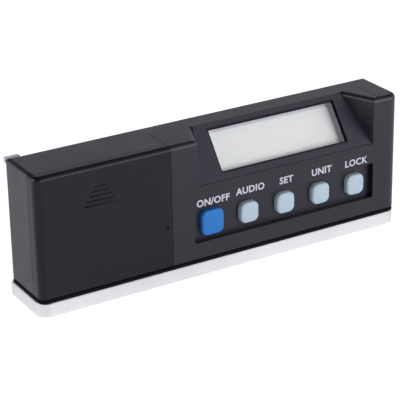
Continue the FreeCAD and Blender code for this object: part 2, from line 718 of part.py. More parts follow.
def make_battery_cover(body):
    """Cover that wraps over the front, the top edge and the left end."""
    cover = body.common(cover_region(0.0))
    foot = BOTTOM + SEAM
    cover = cover.cut(box(LEFT - 1.0, COVER_RIGHT + 1.0, FRONT - 1.0, BACK, BOTTOM - 1.0, foot))
    cover = fuse_all([cover] + cover_teeth())
    cover = cover.cut(arrow_grip())
    hole = Vector(COVER_RIGHT - PIN_HOLE_INSET, FRONT - 1.0, BOTTOM + PIN_HOLE_HEIGHT)
    return cover.cut(rod(PIN_HOLE_RADIUS, hole, Y_AXIS, WALL + 2.0))


def cover_teeth():
    """Teeth on the cover's back that drop into the slots and hold its bottom edge."""
    teeth = []
    half = TOOTH_WIDTH / 2
    y0 = INNER_FRONT + TOOTH_SETBACK
    y1 = y0 + TOOTH_THICKNESS
    z0 = INNER_BOTTOM + TOOTH_CLEARANCE
    for x in tooth_centres():
        root = box(x - half, x + half, INNER_FRONT - WALL / 2, y1, z0, z0 + TOOTH_HEIGHT)
        teeth.append(root.fuse(box(x - half, x + half, y0, y1, BOTTOM + TOOTH_FOOT_GAP, z0)))
    return teeth


def make_battery_pad():
    """Two foam strips inside the cover that keep the battery still."""
    half = TOOTH_WIDTH / 2
    y1 = min(FRONT + COVER_TOP_FLANGE, BATTERY_FRONT) - PAD_GAP
    z0 = BATTERY_Z - PAD_HEIGHT / 2
    z1 = BATTERY_Z + PAD_HEIGHT / 2
    centres = tooth_centres()
    strips = [front_block(x - half, x + half, z0, z1, INNER_FRONT, y1, 0.5) for x in centres]
    return Part.makeCompound(strips)


def make_battery():
    """Nine volt block with its two snap terminals."""
    half = BATTERY_THICKNESS / 2
    corners = [
        Vector(BATTERY_LEFT, -half, BATTERY_BOTTOM),
        Vector(BATTERY_LEFT, half, BATTERY_BOTTOM),
        Vector(BATTERY_LEFT, half, BATTERY_TOP),
        Vector(BATTERY_LEFT, -half, BATTERY_TOP),
    ]
    can = rounded_face(corners, [BATTERY_EDGE_RADIUS] * 4).extrude(Vector(BATTERY_LENGTH, 0, 0))
    for z in terminal_heights():
        can = can.fuse(rod(TERMINAL_RADIUS, Vector(BATTERY_RIGHT, 0, z), X_AXIS, TERMINAL_HEIGHT))
    return can


def terminal_heights():
    """Heights of the two snap terminals."""
    return [BATTERY_Z - TERMINAL_SPACING / 2, BATTERY_Z + TERMINAL_SPACING / 2]


def make_battery_holder():
    """Moulded terminal block on the partition."""
    x0 = BATTERY_RIGHT + TERMINAL_HEIGHT + CONTACT_THICKNESS
    z0 = BATTERY_Z - HOLDER_HEIGHT / 2
    z1 = BATTERY_Z + HOLDER_HEIGHT / 2
    return box(x0, PARTITION_LEFT, -HOLDER_WIDTH / 2, HOLDER_WIDTH / 2, z0, z1)


def make_battery_contacts():
    """Two metal snap cups that grip the terminals."""
    cups = []
    x0 = BATTERY_RIGHT + TERMINAL_HEIGHT * 0.3
    x1 = BATTERY_RIGHT + TERMINAL_HEIGHT + CONTACT_THICKNESS
    inner = TERMINAL_RADIUS + HOLE_CLEARANCE
    for z in terminal_heights():
        cup = rod(CONTACT_RADIUS, Vector(x0, 0, z), X_AXIS, x1 - x0)
        cups.append(cup.cut(rod(inner, Vector(x0, 0, z), X_AXIS, x1 - x0 - CONTACT_THICKNESS)))
    return Part.makeCompound(cups)


def make_display_window():
    """Clear window that sits in a rebate behind the slope."""
    half = WINDOW_HALF + LENS_MARGIN
    v0 = WINDOW_RISE - LENS_MARGIN
    v1 = WINDOW_TOP + LENS_MARGIN
    return slope_block(half, v0, v1, WALL - LENS_THICKNESS, WALL, WINDOW_CORNER_RADIUS)


def glass_half():
    """Half the width of the liquid crystal glass."""
    return WINDOW_HALF + GLASS_MARGIN_X


def frame_half():
    """Half the width of the display frame and of its board."""
    return glass_half() + GLASS_CLEARANCE + FRAME_SIDE


def glass_span():
    """Lower and upper end of the glass up the slope."""
    return WINDOW_RISE - GLASS_MARGIN_V, WINDOW_TOP + GLASS_MARGIN_V


def glass_depths():
    """Depths below the slope's face of the glass front, glass back and board front."""
    front = WALL + FRAME_STEP
    back = front + 2 * GLASS_SHEET
    return front, back, back + ELASTOMER_THICKNESS


def make_display_frame():
    """Pale frame that spaces the glass behind the window and carries its board."""
    v0, v1 = glass_span()
    front, _, board = glass_depths()
    room = slope_block(glass_half() + GLASS_CLEARANCE, v0 - 1.0, v1 + 1.0, front, board + 1.0)
    sight = slope_block(WINDOW_HALF, WINDOW_RISE, WINDOW_TOP, 0.0, board)
    radius = FRAME_SCREW_RADIUS + THREAD_CLEARANCE
    reach = DISPLAY_BOARD_THICKNESS + BOARD_SCREW_REACH + THREAD_CLEARANCE
    holes = [rod(radius, place, -INTO_SLOPE, reach) for place in display_screw_places()]
    return cut_all(slope_block(frame_half(), v0, v1, WALL, board), [room, sight] + holes)


def make_lcd_glass():
    """Two sheets of display glass, the rear one longer for its contacts."""
    v0, v1 = glass_span()
    front, back, _ = glass_depths()
    cell = slope_block(glass_half(), v0 + GLASS_STEP, v1 - GLASS_STEP, front, front + GLASS_SHEET)
    return cell.fuse(slope_block(glass_half(), v0, v1, front + GLASS_SHEET, back))


def make_elastomer_strips():
    """Conductive rubber strips between the glass and its board."""
    v0, v1 = glass_span()
    _, back, board = glass_depths()
    lower = slope_block(WINDOW_HALF, v0, v0 + ELASTOMER_WIDTH, back, board)
    upper = slope_block(WINDOW_HALF, v1 - ELASTOMER_WIDTH, v1, back, board)
    return Part.makeCompound([lower, upper])


def display_screw_places():
    """Where the screws enter the display board from behind."""
    v0, v1 = glass_span()
    inset = FRAME_SIDE / 2
    depth = glass_depths()[2] + DISPLAY_BOARD_THICKNESS
    reach = frame_half() - inset
    xs = (WINDOW_CENTRE - reach, WINDOW_CENTRE + reach)
    return [on_slope(x, v, depth) for x in xs for v in (v0 + inset, v1 - inset)]


def make_display_board():
    """Circuit board behind the display."""
    v0, v1 = glass_span()
    board = glass_depths()[2]
    sheet = slope_block(frame_half(), v0, v1, board, board + DISPLAY_BOARD_THICKNESS)
    radius = FRAME_SCREW_RADIUS + HOLE_CLEARANCE
    for place in display_screw_places():
        sheet = sheet.cut(rod(radius, place, -INTO_SLOPE, DISPLAY_BOARD_THICKNESS))
    return sheet


def pan_screw(start, along, reach, radius, head_radius):
    """A screw with a low round head that stands on the surface at its start."""
    top = start - along * SCREW_HEAD_HEIGHT
    head = rod(head_radius, top, along, SCREW_HEAD_HEIGHT)
    return head.fuse(rod(radius, start, along, reach))


def make_display_screws():
    """Small screws that hold the display board to its frame."""
    reach = DISPLAY_BOARD_THICKNESS + BOARD_SCREW_REACH
    radius = FRAME_SCREW_RADIUS
    head = FRAME_SCREW_HEAD_RADIUS
    places = display_screw_places()
    return Part.makeCompound([pan_screw(p, -INTO_SLOPE, reach, radius, head) for p in places])


def make_main_board():
    """Circuit board that carries the switches, the sensor and the processor."""
    board = box(BOARD_LEFT, BOARD_RIGHT, BOARD_FRONT, BOARD_BACK, BOARD_BOTTOM, BOARD_TOP)
    for place in board_screw_places():
        board = board.cut(rod(SMALL_SCREW_RADIUS + HOLE_CLEARANCE, place, -Y_AXIS, BOARD_THICKNESS))
    return board


def make_board_screws():
    """Screws that hold the main board to the housing."""
    reach = BOARD_THICKNESS + BOARD_SCREW_REACH
    places = board_screw_places()
    solids = [pan_screw(p, -Y_AXIS, reach, SMALL_SCREW_RADIUS, SMALL_SCREW_HEAD_RADIUS) for p in places]
    return Part.makeCompound(solids)


def make_button_switches():
    """Five tactile switches in a row on the front of the main board."""
    switches = []
    s = SWITCH_SIZE / 2
    z0 = BUTTON_Z - s
    z1 = BUTTON_Z + s
    front = BOARD_FRONT - SWITCH_HEIGHT
    for _, x, _, _ in button_places():
        case = front_block(x - s, x + s, z0, z1, BOARD_FRONT, front, 0.6)
        start = Vector(x, front, BUTTON_Z)
        switches.append(case.fuse(rod(PLUNGER_RADIUS, start, -Y_AXIS, PLUNGER_HEIGHT)))
    return Part.makeCompound(switches)


def make_button(x, width, height):
    """A rounded-square button with a holding flange and a stem behind the floor."""
    w = width / 2
    h = height / 2
    z = BUTTON_Z
    radius = BUTTON_CORNER_RADIUS
    cap = front_block(x - w, x + w, z - h, z + h, FRONT, FLANGE_BACK, radius)
    cap = cap.makeFillet(BUTTON_EDGE_RADIUS, edges_at(cap, lambda p: p.y < FRONT + 0.01))
    w = w + BUTTON_FLANGE
    h = h + BUTTON_FLANGE
    radius = radius + BUTTON_FLANGE
    y0 = FLANGE_BACK - BUTTON_FLANGE_THICKNESS
    flange = front_block(x - w, x + w, z - h, z + h, y0, FLANGE_BACK, radius)
    stem = rod(BUTTON_STEM_RADIUS, Vector(x, FLANGE_BACK, BUTTON_Z), Y_AXIS, BUTTON_STEM)
    return fuse_all([cap, flange, stem])


def make_processor():
    """Flat square chip on the back of the main board."""
    half = PROCESSOR_SIZE / 2
    x = BOARD_LEFT + PROCESSOR_OFFSET
    z = (BOARD_BOTTOM + BOARD_TOP) / 2
    return box(x - half, x + half, BOARD_BACK, BOARD_BACK + PROCESSOR_HEIGHT, z - half, z + half)


def make_tilt_sensor():
    """Round can with the tilt cell, in the plane of the front face."""
    x = BOARD_RIGHT - SENSOR_OFFSET
    z = (BOARD_BOTTOM + BOARD_TOP) / 2
    can = rod(SENSOR_RADIUS, Vector(x, BOARD_BACK, z), Y_AXIS, SENSOR_HEIGHT)
    rim = edges_at(can, lambda p: p.y > BOARD_BACK + SENSOR_HEIGHT - 0.01)
    return can.makeChamfer(SENSOR_HEIGHT * 0.12, rim)


def make_buzzer():
    """Round sounder with its hole."""
    x = BOARD_LEFT + BUZZER_OFFSET
    z = (BOARD_BOTTOM + BOARD_TOP) / 2
    can = rod(BUZZER_RADIUS, Vector(x, BOARD_BACK, z), Y_AXIS, BUZZER_HEIGHT)
    mouth = Vector(x, BOARD_BACK + BUZZER_HEIGHT, z)
    return can.cut(rod(BUZZER_RADIUS * 0.2, mouth, -Y_AXIS, BUZZER_HEIGHT / 3))


def make_crystal():
    """Flat oval crystal can beside the chip."""
    half = CRYSTAL_WIDTH / 2
    x = BOARD_LEFT + PROCESSOR_OFFSET + PROCESSOR_SIZE / 2 + CRYSTAL_GAP + half
    z = (BOARD_BOTTOM + BOARD_TOP) / 2
    z0 = z - CRYSTAL_LENGTH / 2
    z1 = z + CRYSTAL_LENGTH / 2
    return front_block(x - half, x + half, z0, z1, BOARD_BACK, BOARD_BACK + CRYSTAL_HEIGHT, half * 0.95)


def make_capacitor():
    """Round electrolytic capacitor."""
    start = Vector(BOARD_RIGHT - CAPACITOR_OFFSET, BOARD_BACK, (BOARD_BOTTOM + BOARD_TOP) / 2)
    return rod(CAPACITOR_RADIUS, start, Y_AXIS, CAPACITOR_HEIGHT)


def make_rear_cover():
    """Flat panel let into the back of the housing."""
    gap = REAR_CLEARANCE
    panel = front_block(
        INNER_LEFT + gap, INNER_RIGHT - gap, INNER_BOTTOM + gap, INNER_TOP - gap, INNER_BACK, BACK, 0.5
    )
    radius = SMALL_SCREW_RADIUS
    places = rear_screw_places()
    panel = panel.cut(rod(radius + HOLE_CLEARANCE, places[0], -Y_AXIS, REAR_THICKNESS))
    for place in places[1:]:
        hole = screw_hole(place, -Y_AXIS, REAR_THICKNESS, radius, SMALL_SCREW_HEAD_RADIUS)
        panel = panel.cut(hole)
    return panel


def make_rear_screws():
    """Screws that hold the rear cover, apart from the bracket's own."""
    reach = REAR_THICKNESS + SMALL_SCREW_REACH
    places = rear_screw_places()[1:]
    solids = [screw(p, -Y_AXIS, reach, SMALL_SCREW_RADIUS, SMALL_SCREW_HEAD_RADIUS) for p in places]
    return Part.makeCompound(solids)


def bracket_screw_start():
    """Where the bracket's screw enters it from behind."""
    return rear_screw_places()[0] + Y_AXIS * BRACKET_THICKNESS


def make_rear_bracket():
    """Small pale plate behind the left rear corner, with a tab up to the top edge."""
    x0 = LEFT + BRACKET_TIP_REACH
    x1 = LEFT + BRACKET_WIDTH
    x2 = LEFT + BRACKET_TAB_WIDTH
    z0 = TOP - BRACKET_LENGTH
    z1 = TOP - BRACKET_TAB_LENGTH
    z2 = TOP - BRACKET_TIP_LENGTH
    outline = [(x0, z0), (x1, z0), (x1, z1), (x2, z1), (x2, TOP), (LEFT, TOP), (LEFT, z2), (x0, z2)]
    corners = [Vector(x, BACK, z) for x, z in outline]
    wide = BRACKET_CORNER_RADIUS
    narrow = wide / 4
    radii = [wide, wide, wide / 2, narrow, narrow, narrow, narrow, narrow]
    plate = rounded_face(corners, radii).extrude(Vector(0, BRACKET_THICKNESS, 0))
    start = bracket_screw_start()
    reach = BRACKET_THICKNESS
    return plate.cut(screw_hole(start, -Y_AXIS, reach, SMALL_SCREW_RADIUS, SMALL_SCREW_HEAD_RADIUS))


def make_bracket_screw():
    """The longer screw through the bracket and the rear cover."""
    reach = BRACKET_THICKNESS + REAR_THICKNESS + SMALL_SCREW_REACH
    return screw(bracket_screw_start(), -Y_AXIS, reach, SMALL_SCREW_RADIUS, SMALL_SCREW_HEAD_RADIUS)


def all_parts():
    """Every sub-part by its name."""
    body = body_block()
    parts = {
        "base_plate": make_base_plate(),
        "base_magnets": make_base_magnets(),
        "base_screws": make_base_screws(),
        "base_gasket": make_base_gasket(),
        "main_housing": make_main_housing(body),
        "rear_cover": make_rear_cover(),
        "rear_screws": make_rear_screws(),
        "rear_bracket": make_rear_bracket(),
        "bracket_screw": make_bracket_screw(),
        "battery_cover": make_battery_cover(body),
        "battery_pad": make_battery_pad(),
        "battery": make_battery(),
        "battery_holder": make_battery_holder(),
        "battery_contacts": make_battery_contacts(),
        "display_window": make_display_window(),
        "display_frame": make_display_frame(),
        "lcd_glass": make_lcd_glass(),
        "elastomer_strips": make_elastomer_strips(),
        "display_board": make_display_board(),
        "display_screws": make_display_screws(),
        "main_board": make_main_board(),
        "board_screws": make_board_screws(),
        "button_switches": make_button_switches(),
        "processor": make_processor(),
        "tilt_sensor": make_tilt_sensor(),
        "buzzer": make_buzzer(),
        "crystal": make_crystal(),
        "capacitor": make_capacitor(),
    }
    for name, x, width, height in button_places():
        parts[name] = make_button(x, width, height)
    return parts


def main():
    """Write one STEP file for each sub-part."""
    os.makedirs("parts", exist_ok=True)
    for name, shape in all_parts().items():
        shape.exportStep("parts/" + name + ".step")


main()
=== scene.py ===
"""Digital inclinometer: finishes, printed words, keys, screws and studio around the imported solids.

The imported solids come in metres, +X along the body, -Y out of the front face and +Z up. Sizes
here are millimetres until a mesh is finished, and each piece sits where its solid says.
"""

from __future__ import annotations

import json
import logging
import math
from dataclasses import dataclass, field, replace
from enum import Enum
from typing import Any, Iterable, Sequence

import bmesh
import bpy
from bmesh.types import BMEdge, BMesh, BMVert
from bpy.types import Material, Node, NodeSocket, NodeTree, Object
from mathutils import Matrix, Vector

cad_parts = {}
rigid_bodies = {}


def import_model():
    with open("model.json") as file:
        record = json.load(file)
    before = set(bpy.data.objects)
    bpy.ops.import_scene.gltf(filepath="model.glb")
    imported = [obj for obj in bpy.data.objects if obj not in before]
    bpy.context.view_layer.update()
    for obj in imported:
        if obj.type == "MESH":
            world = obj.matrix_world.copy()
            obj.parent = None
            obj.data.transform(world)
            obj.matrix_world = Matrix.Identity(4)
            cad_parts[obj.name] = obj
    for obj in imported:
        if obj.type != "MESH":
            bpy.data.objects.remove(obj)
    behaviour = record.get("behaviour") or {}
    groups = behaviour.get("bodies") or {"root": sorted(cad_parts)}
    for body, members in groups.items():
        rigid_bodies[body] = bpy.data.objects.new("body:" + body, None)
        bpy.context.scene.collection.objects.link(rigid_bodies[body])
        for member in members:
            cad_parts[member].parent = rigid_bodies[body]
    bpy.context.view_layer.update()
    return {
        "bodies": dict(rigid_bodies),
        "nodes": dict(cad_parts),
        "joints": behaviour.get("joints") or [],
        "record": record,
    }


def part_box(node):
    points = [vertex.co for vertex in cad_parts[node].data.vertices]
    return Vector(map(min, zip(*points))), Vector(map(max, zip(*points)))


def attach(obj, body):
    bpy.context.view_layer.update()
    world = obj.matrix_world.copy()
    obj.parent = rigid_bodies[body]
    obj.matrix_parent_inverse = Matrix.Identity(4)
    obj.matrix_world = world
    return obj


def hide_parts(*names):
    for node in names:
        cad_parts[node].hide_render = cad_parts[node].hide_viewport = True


LOG = logging.getLogger("inclinometer")
MM = 0.001
MERGE = 0.001
LETTER_MERGE = MERGE * 0.1
SMOOTH_ANGLE = math.radians(32)
# An edge or face whose direction has at least this share along an axis lies along it
ALONG = 0.9
# Points this close behind the outermost one, in millimetres, belong to the same flat face
FACE_DEPTH = 0.01
# A noise texture's values lie mostly between these two
NOISE_LOW, NOISE_HIGH = 0.3, 0.7
# Fine lines repeat this much more slowly along the part than across it
LINE_SHARE = 0.02


# Small tools for colours, nodes and meshes


def linear(code: str) -> tuple[float, float, float, float]:
    """Turns an sRGB hex code into a linear colour.

    Args:
        code: Six hex digits after a hash.

    Returns:
        Red, green, blue and an alpha of one.
    """
    parts = [int(code[i:i + 2], 16) / 255 for i in (1, 3, 5)]
    low = [p / 12.92 for p in parts]
    high = [((p + 0.055) / 1.055) ** 2.4 for p in parts]
    mixed = [lo if p <= 0.04045 else hi for p, lo, hi in zip(parts, low, high)]
    return (mixed[0], mixed[1], mixed[2], 1.0)


def add_node(
    tree: NodeTree,
    kind: str,
    settings: dict[str, Any] | None = None,
    inputs: dict[str | int, Any] | None = None,
) -> Node:
    """Adds a node with its settings, values and links.

    Args:
        tree: The node tree that gets the node.
        kind: The node's type, such as ShaderNodeBump.
        settings: Properties of the node by name.
        inputs: Values or output sockets by the name or number of the input.

    Returns:
        The new node.
    """
    node = tree.nodes.new(kind)
    for name, value in (settings or {}).items():
        setattr(node, name, value)
    for key, value in (inputs or {}).items():
        if isinstance(value, NodeSocket):
            tree.links.new(value, node.inputs[key])
        else:
            node.inputs[key].default_value = value
    return node


def finished_object(name: str, bm: BMesh, finish: Material) -> Object:
    """Turns a bmesh in millimetres into an object in metres at the origin.

    Args:
        name: Name of the piece.
        bm: The shape, which is freed here.
        finish: Its material.

    Returns:
        The linked object.
    """
    bmesh.ops.scale(bm, vec=Vector((MM, MM, MM)), verts=bm.verts)
    bmesh.ops.recalc_face_normals(bm, faces=bm.faces)
    for face in bm.faces:
        face.smooth = True
    mesh = bpy.data.meshes.new(name)
    bm.to_mesh(mesh)
    bm.free()
    mesh.set_sharp_from_angle(angle=SMOOTH_ANGLE)
    mesh.materials.append(finish)
    piece = bpy.data.objects.new(name, mesh)
    bpy.context.scene.collection.objects.link(piece)
    return piece


def dress(names: Iterable[str], frame: dict[str, Any], finish: Material) -> None:
    """Gives solids of the frame their finish.

    Args:
        names: The solids' names.
        finish: The material.
    """
    for name in names:
        for slot in frame["nodes"][name].material_slots:
            slot.material = finish
        LOG.info("%s takes %s", name, finish.name)


def extent(verts: Iterable[BMVert]) -> tuple[Vector, Vector]:
    """Returns the lowest and highest corner of a box around some vertices."""
    places = [vert.co for vert in verts]
    low, high = (Vector(pick(place[i] for place in places) for i in range(3)) for pick in (min, max))
    return low, high


def turn_between(start: Sequence[float], end: Vector) -> Matrix:
    """Returns the turn that brings one direction onto another."""
    return Vector(start).rotation_difference(end).to_matrix().to_4x4()


def island_boxes(solid: Object) -> list[tuple[Vector, Vector]]:
    """Finds the separate bodies in one solid's mesh.

    Args:
        solid: A solid of the frame, which is only read.

    Returns:
        Lowest and highest corner of each, in millimetres, from left to right.
    """
    bm = bmesh.new()
    bm.from_mesh(solid.data)
    bmesh.ops.scale(bm, vec=Vector((1 / MM, 1 / MM, 1 / MM)), verts=bm.verts)
    bmesh.ops.remove_doubles(bm, verts=bm.verts, dist=MERGE)
    boxes = []
    waiting = set(bm.verts)
    while waiting:
        group = [waiting.pop()]
        for vert in group:
            near = {edge.other_vert(vert) for edge in vert.link_edges} & waiting
            waiting -= near
            group.extend(near)
        boxes.append(extent(group))
    bm.free()
    return sorted(boxes, key=lambda box: (round(box[0].x, 2), round(box[0].z, 2)))


def outer_patch(solid: Object, normal: Vector) -> tuple[Vector, float, float]:
    """Measures the outermost flat face of a solid along a direction.

    Args:
        solid: A solid of the frame.
        normal: The face's outward direction, square to the X axis.

    Returns:
        The face's middle and its half sizes along X and up the slope, in millimetres.
    """
    across = Vector((1, 0, 0))
    up = across.cross(-normal)
    points = [vert.co / MM for vert in solid.data.vertices]
    reach = max(point.dot(normal) for point in points)
    front = [point for point in points if point.dot(normal) > reach - FACE_DEPTH]
    xs = [point.dot(across) for point in front]
    vs = [point.dot(up) for point in front]
    middle = across * ((min(xs) + max(xs)) / 2) + up * ((min(vs) + max(vs)) / 2) + normal * reach
    return middle, (max(xs) - min(xs)) / 2, (max(vs) - min(vs)) / 2


def rounded_block(width: float, height: float, depth: float, radius: float, steps: int) -> BMesh:
    """Makes a block about the origin whose four edges along Y are rounded.

    Args:
        width: Size along X.
        height: Size along Z.
        depth: Size along Y.
        radius: Radius of the four edges.
        steps: Facets in each of them.

    Returns:
        The block in millimetres.
    """
    bm = bmesh.new()
    bmesh.ops.create_cube(bm, size=1.0)
    bmesh.ops.scale(bm, vec=Vector((width, depth, height)), verts=bm.verts)
    ways = {edge: (edge.verts[0].co - edge.verts[1].co).normalized() for edge in bm.edges}
    along = [edge for edge, way in ways.items() if abs(way.y) > ALONG]
    bmesh.ops.bevel(
        bm, geom=along, offset=radius, segments=steps, profile=0.5, affect="EDGES", material=-1
    )
    return bm


def merge_into(target: BMesh, other: BMesh) -> None:
    """Adds one bmesh to another and frees it."""
    spare = bpy.data.meshes.new("spare")
    other.to_mesh(spare)
    other.free()
    target.from_mesh(spare)
    bpy.data.meshes.remove(spare)


# Finishes


class Relief(Enum):
    """How the fine relief of a surface lies."""

    GRAIN = "even grain from a spark-eroded or blasted mould"
    LINES = "fine lines along the part from rolling or brushing"
    CELLS = "round open cells"
    BOARD = "straight tracks under solder mask"


@dataclass(frozen=True)
class Finish:
    """A surface: its colour and gloss, broad patches and fine relief."""

    name: str
    colour: str
    roughness: float
    ior: float = 1.5
    metallic: float = 0.0
    relief: Relief = Relief.GRAIN
    grain_mm: float = 0.5
    depth_mm: float = 0.01
    patch_mm: float = 14.0
    mottle: float = 0.06
    gloss_change: float = 0.04
    subsurface: float = 0.0
    scatter_mm: float = 0.6

    def build(self) -> Material:
        """Makes the material.

        Returns:
            A material whose patterns read Object coordinates.
        """
        material = bpy.data.materials.new(self.name)
        material.use_nodes = True
        material.diffuse_color = linear(self.colour)
        tree = material.node_tree
        tree.nodes.clear()
        place = add_node(tree, "ShaderNodeTexCoord").outputs["Object"]
        shader = add_node(tree, "ShaderNodeBsdfPrincipled", inputs={
            "Base Color": linear(self.colour), "Roughness": self.roughness, "Metallic": self.metallic,
            "IOR": self.ior, "Subsurface Weight": self.subsurface,
            "Subsurface Radius": (1.0, 1.0, 1.0), "Subsurface Scale": self.scatter_mm * MM,
        })
        self.add_patches(tree, shader, place)
        self.add_relief(tree, shader, place)
        surface = self.close(tree, shader, place)
        add_node(tree, "ShaderNodeOutputMaterial", inputs={"Surface": surface})
        return material

    def add_patches(self, tree: NodeTree, shader: Node, place: NodeSocket) -> None:
        """Lets colour and gloss drift a little over the surface.

        Args:
            tree: The material's node tree.
            shader: Its main shader.
            place: Object coordinates.
        """
        cloud = add_node(tree, "ShaderNodeTexNoise", inputs={
            "Vector": place, "Scale": 1 / (self.patch_mm * MM), "Detail": 3.0, "Roughness": 0.6,
        })
        colour = linear(self.colour)
        darker = tuple(c * (1 - self.mottle) for c in colour[:3]) + (1.0,)
        lighter = tuple(min(c * (1 + self.mottle), 1.0) for c in colour[:3]) + (1.0,)
        mixed = add_node(tree, "ShaderNodeMix", {"data_type": "RGBA"}, {
            0: cloud.outputs["Fac"], 6: darker, 7: lighter,
        })
        gloss = add_node(tree, "ShaderNodeMapRange", inputs={
            "Value": cloud.outputs["Fac"], "From Min": NOISE_LOW, "From Max": NOISE_HIGH,
            "To Min": self.roughness - self.gloss_change, "To Max": self.roughness + self.gloss_change,
        })
        tree.links.new(mixed.outputs[2], shader.inputs["Base Color"])
        tree.links.new(gloss.outputs["Result"], shader.inputs["Roughness"])

    def height(self, tree: NodeTree, place: NodeSocket) -> NodeSocket:
        """Makes the pattern that the fine relief follows.

        Args:
            tree: The material's node tree.
            place: Object coordinates.

        Returns:
            A height between zero and one.
        """
        scale = 1 / (self.grain_mm * MM)
        if self.relief is Relief.LINES:
            drawn = add_node(tree, "ShaderNodeMapping", inputs={
                "Vector": place, "Scale": (LINE_SHARE, 1.0, 1.0),
            })
            return add_node(tree, "ShaderNodeTexNoise", inputs={
                "Vector": drawn.outputs["Vector"], "Scale": scale, "Detail": 2.0,
            }).outputs["Fac"]
        if self.relief is Relief.CELLS:
            return add_node(tree, "ShaderNodeTexVoronoi", inputs={
                "Vector": place, "Scale": scale,
            }).outputs["Distance"]
        if self.relief is Relief.BOARD:
            return add_node(tree, "ShaderNodeTexVoronoi", {"distance": "CHEBYCHEV", "feature": "F1"}, {
                "Vector": place, "Scale": scale, "Randomness": 0.6,
            }).outputs["Distance"]
        return add_node(tree, "ShaderNodeTexNoise", inputs={
            "Vector": place, "Scale": scale, "Detail": 1.5, "Roughness": 0.55,
        }).outputs["Fac"]

    def add_relief(self, tree: NodeTree, shader: Node, place: NodeSocket) -> None:
        """Adds the fine relief as bump.

        Args:
            tree: The material's node tree.
            shader: Its main shader.
            place: Object coordinates.
        """
        bump = add_node(tree, "ShaderNodeBump", inputs={
            "Height": self.height(tree, place), "Distance": self.depth_mm * MM, "Strength": 1.0,
        })
        tree.links.new(bump.outputs["Normal"], shader.inputs["Normal"])

    def close(self, tree: NodeTree, shader: Node, place: NodeSocket) -> NodeSocket:
        """Returns the socket that goes to the output."""
        return shader.outputs["BSDF"]


@dataclass(frozen=True)
class HousingPlastic(Finish):
    """Black ABS from a mould whose display slope was spark-eroded coarser than the rest; the slope's
    paler colour is painted light for the light that it catches.
    """

    # Paler colour on the display slope: painted light for the light that the slope catches from above
    # and in front
    slope_painted_light_colour: str = "#2A2B36"
    slope_grain_mm: float = 0.75
    slope_depth_mm: float = 0.08
    slope_normal: Vector = field(default_factory=lambda: Vector((0, -0.8, 0.6)))
    slope_match: float = 0.995

    def on_slope(self, tree: NodeTree) -> NodeSocket:
        """Marks the display slope by the direction that it faces.

        Args:
            tree: The material's node tree.

        Returns:
            One on the slope and zero elsewhere.
        """
        facing = add_node(tree, "ShaderNodeNewGeometry").outputs["True Normal"]
        match = add_node(tree, "ShaderNodeVectorMath", {"operation": "DOT_PRODUCT"}, {
            0: facing, 1: self.slope_normal,
        })
        return add_node(tree, "ShaderNodeMath", {"operation": "GREATER_THAN"}, {
            0: match.outputs["Value"], 1: self.slope_match,
        }).outputs["Value"]

    def add_patches(self, tree: NodeTree, shader: Node, place: NodeSocket) -> None:
        """Adds the patches and the slope's paler tone, which is painted light.

        Args:
            tree: The material's node tree.
            shader: Its main shader.
            place: Object coordinates.
        """
        super().add_patches(tree, shader, place)
        plain = shader.inputs["Base Color"].links[0].from_socket
        mark = self.on_slope(tree)
        both = add_node(tree, "ShaderNodeMix", {"data_type": "RGBA"}, {
            0: mark, 6: plain, 7: linear(self.slope_painted_light_colour),
        })
        tree.links.new(both.outputs[2], shader.inputs["Base Color"])

    def add_relief(self, tree: NodeTree, shader: Node, place: NodeSocket) -> None:
        """Adds the fine grain, and the coarse grain on the slope.

        Args:
            tree: The material's node tree.
            shader: Its main shader.
            place: Object coordinates.
        """
        coarse = add_node(tree, "ShaderNodeTexNoise", inputs={
            "Vector": place, "Scale": 1 / (self.slope_grain_mm * MM), "Detail": 1.0,
        })
        mark = self.on_slope(tree)
        height = add_node(tree, "ShaderNodeMath", {"operation": "MULTIPLY"}, {
            0: coarse.outputs["Fac"], 1: mark,
        })
        first = add_node(tree, "ShaderNodeBump", inputs={
            "Height": height.outputs["Value"], "Distance": self.slope_depth_mm * MM, "Strength": 1.0,
        })
        second = add_node(tree, "ShaderNodeBump", inputs={
            "Height": self.height(tree, place), "Distance": self.depth_mm * MM, "Strength": 1.0,
            "Normal": first.outputs["Normal"],
        })
        tree.links.new(second.outputs["Normal"], shader.inputs["Normal"])


@dataclass(frozen=True)
class ClearPane(Finish):
    """Clear acrylic that lets lamps through to the display."""

    def add_patches(self, tree: NodeTree, shader: Node, place: NodeSocket) -> None:
        """Makes the shader clear; a polished pane has no patches."""
        shader.inputs["Transmission Weight"].default_value = 1.0

    def close(self, tree: NodeTree, shader: Node, place: NodeSocket) -> NodeSocket:
        """Lets shadow rays pass straight through.

        Args:
            tree: The material's node tree.
            shader: Its main shader.
            place: Object coordinates, not used here.

        Returns:
            The mixed shader.
        """
        path = add_node(tree, "ShaderNodeLightPath")
        through = add_node(tree, "ShaderNodeBsdfTransparent")
        mixed = add_node(tree, "ShaderNodeMixShader", inputs={
            0: path.outputs["Is Shadow Ray"], 1: shader.outputs["BSDF"], 2: through.outputs["BSDF"],
        })
        return mixed.outputs["Shader"]


# Grain and tracks are drawn coarser than the real ones throughout, so that they show

# ABS moulding, matt: dark, with a soft sheen at low angles
HOUSING = HousingPlastic("moulded_black_abs", "#0D0D1B", 0.38, grain_mm=0.4, depth_mm=0.012)
# The cover's plastic is darker and reflects less than the housing's, so that it looks darker from the
# front
COVER = Finish("moulded_black_cover", "#080812", 0.34, ior=1.37, grain_mm=0.35, depth_mm=0.01)
# Extruded aluminium, blasted and clear anodised: pale, with faint lines along its length
ALUMINIUM = Finish(
    "anodised_aluminium", "#E3E3E1", 0.42, metallic=1.0, relief=Relief.LINES, grain_mm=0.5,
    depth_mm=0.004, mottle=0.02,
)
